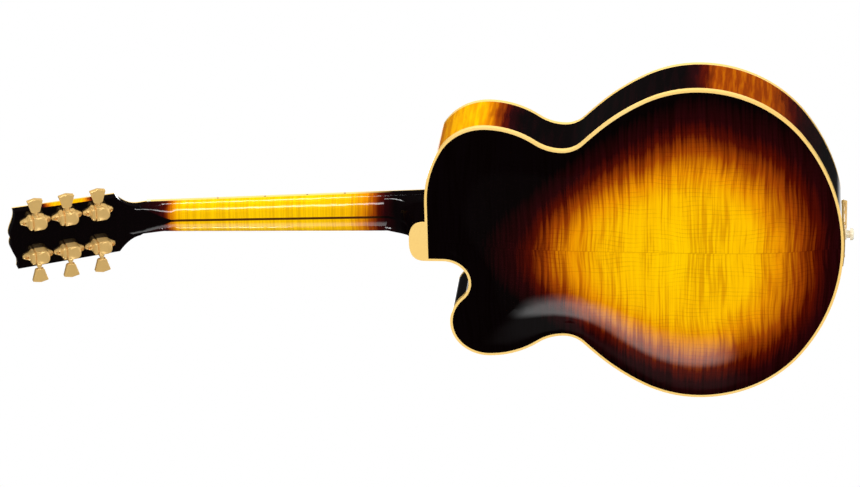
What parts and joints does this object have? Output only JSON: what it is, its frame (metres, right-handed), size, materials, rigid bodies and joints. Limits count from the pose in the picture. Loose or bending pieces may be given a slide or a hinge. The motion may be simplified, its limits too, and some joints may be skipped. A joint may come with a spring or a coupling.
{
  "type": "archtop guitar",
  "caption": "Arched-top acoustic guitar with a rounded cutaway, bound flamed-maple body, striped neck, geared tuners, height-adjustable bridge and trapeze tailpiece.",
  "frame": {"origin": "middle of the nut's front edge on the fingerboard's surface, where a wall hanger's yoke holds the neck", "axes": "+Z along the body's centre line towards the headstock, +Y out of the front towards the strings, +X towards the bass side"},
  "size_m": [0.432, 0.1508, 1.0785],
  "materials": {
    "lacquered_maple": "gloss",
    "spruce": "gloss",
    "inner_wood": "matte",
    "dark_strip": "gloss",
    "cream_plastic": "gloss",
    "ebony": "satin",
    "pearl": "gloss",
    "black_plastic": "gloss",
    "bone": "satin",
    "guard_plastic": "gloss",
    "fret_wire": "polished",
    "plain_steel": "polished",
    "gold_metal": "polished"
  },
  "bodies": {
    "guitar": {"back_binding": "cream_plastic", "back_lining": "inner_wood", "back_plate": "lacquered_maple", "bridge_base": "ebony", "bridge_posts": "gold_metal", "end_block": "inner_wood", "fingerboard": "ebony", "fingerboard_binding": "cream_plastic", "frets": "fret_wire", "headstock_binding": "cream_plastic", "headstock_face": "ebony", "heel_cap": "cream_plastic", "neck_bass_half": "lacquered_maple", "neck_block": "inner_wood", "neck_centre_strip": "dark_strip", "neck_treble_half": "lacquered_maple", "nut": "bone", "pickguard": "guard_plastic", "pickguard_bracket": "gold_metal", "position_markers": "pearl", "rim_bass": "lacquered_maple", "rim_treble": "lacquered_maple", "side_dots": "black_plastic", "strap_button": "cream_plastic", "strings": "plain_steel", "tailpiece": "gold_metal", "tailpiece_bracket": "gold_metal", "tailpiece_screws": "gold_metal", "tone_bars": "spruce", "top_binding": "cream_plastic", "top_lining": "inner_wood", "top_plate": "spruce", "truss_cover_screws": "gold_metal", "truss_rod": "plain_steel", "truss_rod_cover": "black_plastic", "tuner_bushings": "gold_metal", "tuner_housings": "gold_metal", "tuner_screws": "gold_metal"},
    "tuner_button_1": {"tuner_button_1": "gold_metal"},
    "tuner_post_1": {"tuner_post_1": "gold_metal", "string_winding_1": "plain_steel"},
    "tuner_button_2": {"tuner_button_2": "gold_metal"},
    "tuner_post_2": {"tuner_post_2": "gold_metal", "string_winding_2": "plain_steel"},
    "tuner_button_3": {"tuner_button_3": "gold_metal"},
    "tuner_post_3": {"tuner_post_3": "gold_metal", "string_winding_3": "plain_steel"},
    "tuner_button_4": {"tuner_button_4": "gold_metal"},
    "tuner_post_4": {"tuner_post_4": "gold_metal", "string_winding_4": "plain_steel"},
    "tuner_button_5": {"tuner_button_5": "gold_metal"},
    "tuner_post_5": {"tuner_post_5": "gold_metal", "string_winding_5": "plain_steel"},
    "tuner_button_6": {"tuner_button_6": "gold_metal"},
    "tuner_post_6": {"tuner_post_6": "gold_metal", "string_winding_6": "plain_steel"},
    "saddle": {"bridge_saddle": "ebony"},
    "thumbwheel_bass": {"thumbwheel_bass": "gold_metal"},
    "thumbwheel_treble": {"thumbwheel_treble": "gold_metal"},
    "truss_nut": {"truss_rod_nut": "plain_steel"}
  },
  "joints": [
    {"name": "button_turn_1", "type": "hinge", "parent": "guitar", "child": "tuner_button_1", "pos_m": [-0.0243, -0.05149, 0.05926], "axis": [-1, 0, 0], "continuous": true},
    {"name": "post_turn_1", "type": "hinge", "parent": "guitar", "child": "tuner_post_1", "pos_m": [-0.0243, -0.02724, 0.06143], "axis": [0, 0.9219, 0.3875], "continuous": true},
    {"name": "button_turn_2", "type": "hinge", "parent": "guitar", "child": "tuner_button_2", "pos_m": [-0.0243, -0.06738, 0.09705], "axis": [-1, 0, 0], "continuous": true},
    {"name": "post_turn_2", "type": "hinge", "parent": "guitar", "child": "tuner_post_2", "pos_m": [-0.0243, -0.04313, 0.09922], "axis": [0, 0.9219, 0.3875], "continuous": true},
    {"name": "button_turn_3", "type": "hinge", "parent": "guitar", "child": "tuner_button_3", "pos_m": [-0.0243, -0.08327, 0.13485], "axis": [-1, 0, 0], "continuous": true},
    {"name": "post_turn_3", "type": "hinge", "parent": "guitar", "child": "tuner_post_3", "pos_m": [-0.0243, -0.05902, 0.13702], "axis": [0, 0.9219, 0.3875], "continuous": true},
    {"name": "button_turn_4", "type": "hinge", "parent": "guitar", "child": "tuner_button_4", "pos_m": [0.0243, -0.08327, 0.13485], "axis": [1, 0, 0], "continuous": true},
    {"name": "post_turn_4", "type": "hinge", "parent": "guitar", "child": "tuner_post_4", "pos_m": [0.0243, -0.05902, 0.13702], "axis": [0, 0.9219, 0.3875], "continuous": true},
    {"name": "button_turn_5", "type": "hinge", "parent": "guitar", "child": "tuner_button_5", "pos_m": [0.0243, -0.06738, 0.09705], "axis": [1, 0, 0], "continuous": true},
    {"name": "post_turn_5", "type": "hinge", "parent": "guitar", "child": "tuner_post_5", "pos_m": [0.0243, -0.04313, 0.09922], "axis": [0, 0.9219, 0.3875], "continuous": true},
    {"name": "button_turn_6", "type": "hinge", "parent": "guitar", "child": "tuner_button_6", "pos_m": [0.0243, -0.05149, 0.05926], "axis": [1, 0, 0], "continuous": true},
    {"name": "post_turn_6", "type": "hinge", "parent": "guitar", "child": "tuner_post_6", "pos_m": [0.0243, -0.02724, 0.06143], "axis": [0, 0.9219, 0.3875], "continuous": true},
    {"name": "saddle_height", "type": "slide", "parent": "guitar", "child": "saddle", "axis": [0, 1, 0], "range_m": [-0.002, 0]},
    {"name": "thumbwheel_bass_turn", "type": "hinge", "parent": "saddle", "child": "thumbwheel_bass", "pos_m": [0.037, 0.06, -0.64623], "axis": [0, 1, 0], "range_deg": [-900, 0]},
    {"name": "thumbwheel_treble_turn", "type": "hinge", "parent": "saddle", "child": "thumbwheel_treble", "pos_m": [-0.037, 0.06, -0.64623], "axis": [0, 1, 0], "range_deg": [-900, 0]},
    {"name": "truss_nut_turn", "type": "hinge", "parent": "guitar", "child": "truss_nut", "pos_m": [0, -0.01456, 0.01082], "axis": [0, -0.0837, 0.9965], "range_deg": [-180, 180]}
  ],
  "couplings": [
    {"joint": "post_turn_1", "follows": "button_turn_1", "ratio": -0.066667},
    {"joint": "post_turn_2", "follows": "button_turn_2", "ratio": -0.066667},
    {"joint": "post_turn_3", "follows": "button_turn_3", "ratio": -0.066667},
    {"joint": "post_turn_4", "follows": "button_turn_4", "ratio": -0.066667},
    {"joint": "post_turn_5", "follows": "button_turn_5", "ratio": -0.066667},
    {"joint": "post_turn_6", "follows": "button_turn_6", "ratio": -0.066667},
    {"joint": "saddle_height", "follows": "thumbwheel_bass_turn", "m_per_rad": 0.00012732},
    {"joint": "thumbwheel_treble_turn", "follows": "thumbwheel_bass_turn", "ratio": 1}
  ]
}
